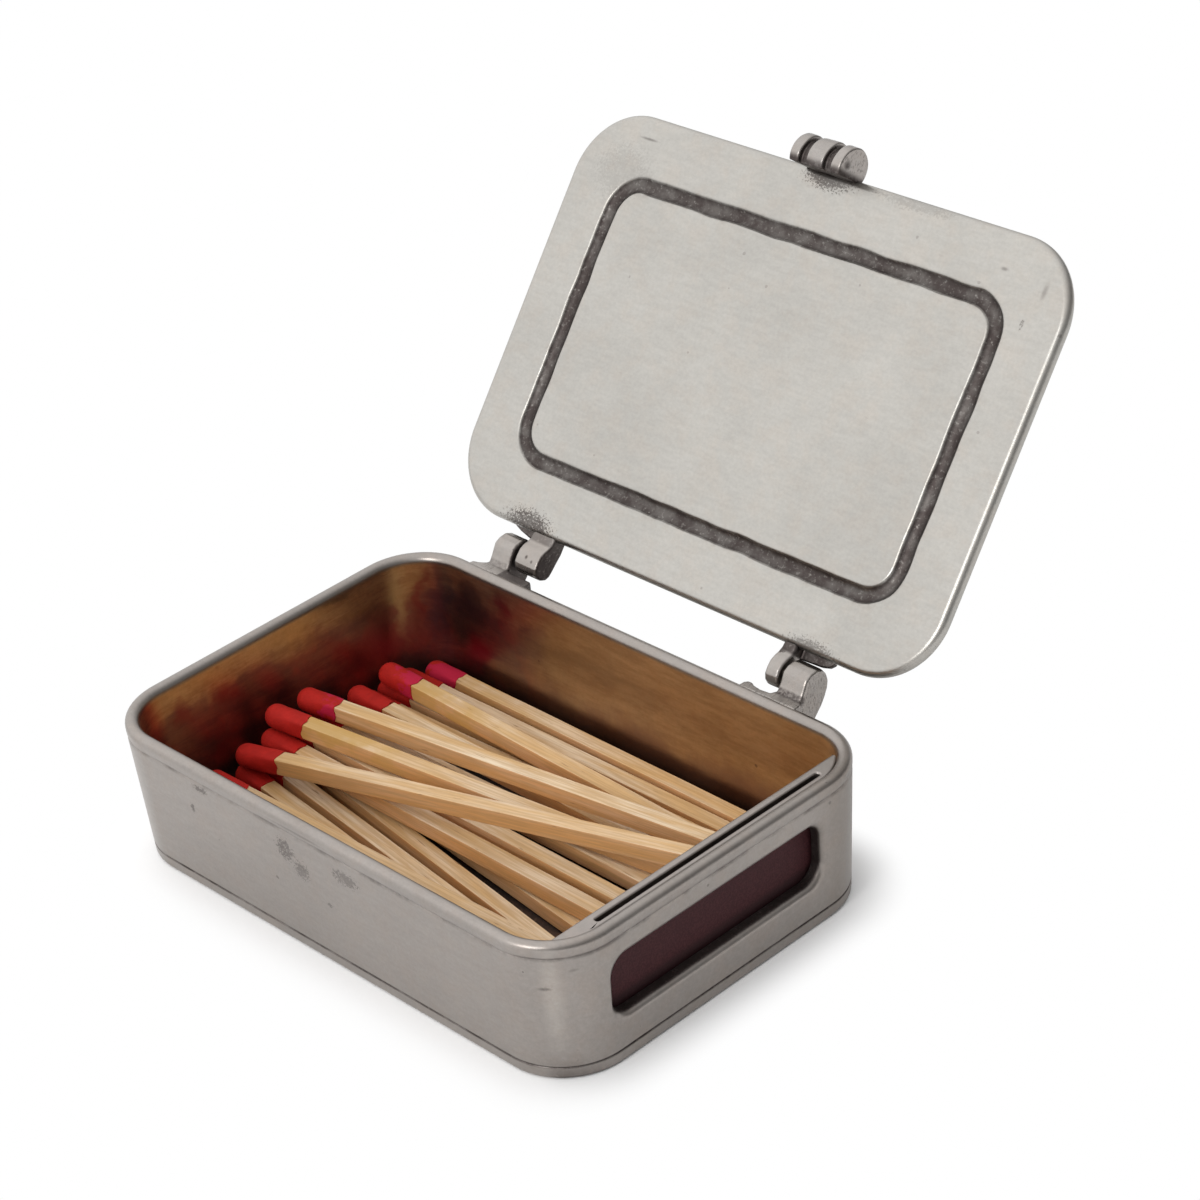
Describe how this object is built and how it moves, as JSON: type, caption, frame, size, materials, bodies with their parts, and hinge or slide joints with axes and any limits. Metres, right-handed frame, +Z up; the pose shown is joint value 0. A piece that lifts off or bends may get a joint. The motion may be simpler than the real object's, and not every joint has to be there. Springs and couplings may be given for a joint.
{
  "type": "matchbox holder",
  "caption": "Low rounded metal table box for long household matches, with a hinged lid standing open, a striker strip behind an end window and a loose pile of red-headed matches.",
  "frame": {"origin": "centre of the box's flat underside", "axes": "+X is the end with the striker window, +Y the hinge side, +Z up"},
  "size_m": [0.116, 0.1373, 0.1013],
  "materials": {
    "pewter": "satin, aged grey metal",
    "lid_pewter": "satin, lighter aged grey metal",
    "pin_steel": "plain",
    "striker_coat": "matte, gritty",
    "match_wood": "raw pale wood",
    "match_red": "matte"
  },
  "bodies": {
    "case": {"base_plate": "pewter", "body_shell": "pewter", "striker_wall": "pewter", "hinge_box_left": "pewter", "hinge_box_right": "pewter", "hinge_pin_left": "pin_steel", "hinge_pin_right": "pin_steel", "match_stick_1": "match_wood", "match_head_1": "match_red", "match_stick_2": "match_wood", "match_head_2": "match_red", "match_stick_3": "match_wood", "match_head_3": "match_red", "match_stick_4": "match_wood", "match_head_4": "match_red", "match_stick_5": "match_wood", "match_head_5": "match_red", "match_stick_6": "match_wood", "match_head_6": "match_red", "match_stick_7": "match_wood", "match_head_7": "match_red", "match_stick_8": "match_wood", "match_head_8": "match_red", "match_stick_9": "match_wood", "match_head_9": "match_red", "match_stick_10": "match_wood", "match_head_10": "match_red", "match_stick_11": "match_wood", "match_head_11": "match_red", "match_stick_12": "match_wood", "match_head_12": "match_red", "match_stick_13": "match_wood", "match_head_13": "match_red", "match_stick_14": "match_wood", "match_head_14": "match_red", "match_stick_15": "match_wood", "match_head_15": "match_red"},
    "lid": {"lid_plate": "lid_pewter", "thumb_lift": "pewter", "hinge_lid_left": "pewter", "hinge_lid_right": "pewter"},
    "striker": {"striker_strip": "striker_coat"},
    "match_front": {"match_stick_16": "match_wood", "match_head_16": "match_red"},
    "match_crossing": {"match_stick_17": "match_wood", "match_head_17": "match_red"},
    "match_middle": {"match_stick_18": "match_wood", "match_head_18": "match_red"},
    "match_back": {"match_stick_19": "match_wood", "match_head_19": "match_red"}
  },
  "joints": [
    {"name": "lid_hinge", "type": "hinge", "parent": "case", "child": "lid", "pos_m": [0, 0.0443, 0.0287], "axis": [-1, 0, 0], "range_deg": [-128, 0]},
    {"name": "striker_slide", "type": "slide", "parent": "case", "child": "striker", "axis": [0, 0, 1], "range_m": [0, 0.0026]},
    {"name": "match_front_lift", "type": "slide", "parent": "case", "child": "match_front", "axis": [0, 0, 1], "range_m": [0, 0.005]},
    {"name": "match_crossing_lift", "type": "slide", "parent": "case", "child": "match_crossing", "axis": [0, 0, 1], "range_m": [0, 0.005]},
    {"name": "match_middle_lift", "type": "slide", "parent": "case", "child": "match_middle", "axis": [0, 0, 1], "range_m": [0, 0.005]},
    {"name": "match_back_lift", "type": "slide", "parent": "case", "child": "match_back", "axis": [0, 0, 1], "range_m": [0, 0.005]}
  ]
}
